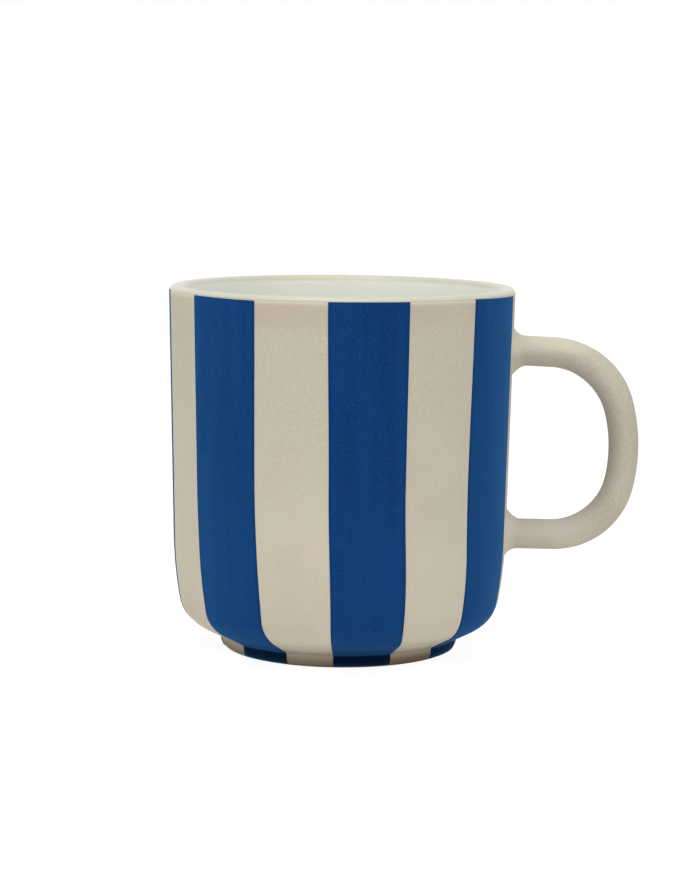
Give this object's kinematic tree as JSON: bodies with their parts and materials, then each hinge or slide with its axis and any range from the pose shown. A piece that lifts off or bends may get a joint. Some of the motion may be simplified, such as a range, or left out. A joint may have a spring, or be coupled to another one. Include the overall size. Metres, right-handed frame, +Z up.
{
  "type": "mug",
  "caption": "Straight-sided stoneware mug with a loop handle, a stepped foot ring, vertical painted stripes and a glazed inside, for hot and cold drinks.",
  "frame": {"origin": "on the cup's axis, in the plane of the foot ring's resting face", "axes": "+Z up along the cup's axis, +X towards the handle, +Y to the left when looking along +X"},
  "size_m": [0.1175, 0.0864, 0.0911],
  "materials": {
    "stoneware": "matte unglazed cream stoneware",
    "stoneware_slip": "matte cream slip, the same clay as the body",
    "white_glaze": "glossy greenish-white glaze",
    "blue_engobe": "matte cobalt-blue engobe"
  },
  "bodies": {
    "root": {"cup_body": "stoneware", "handle": "stoneware", "handle_slip_upper": "stoneware_slip", "handle_slip_lower": "stoneware_slip", "liner_glaze": "white_glaze", "blue_stripe_1": "blue_engobe", "blue_stripe_2": "blue_engobe", "blue_stripe_3": "blue_engobe", "blue_stripe_4": "blue_engobe", "blue_stripe_5": "blue_engobe", "blue_stripe_6": "blue_engobe", "blue_stripe_7": "blue_engobe"}
  },
  "joints": []
}
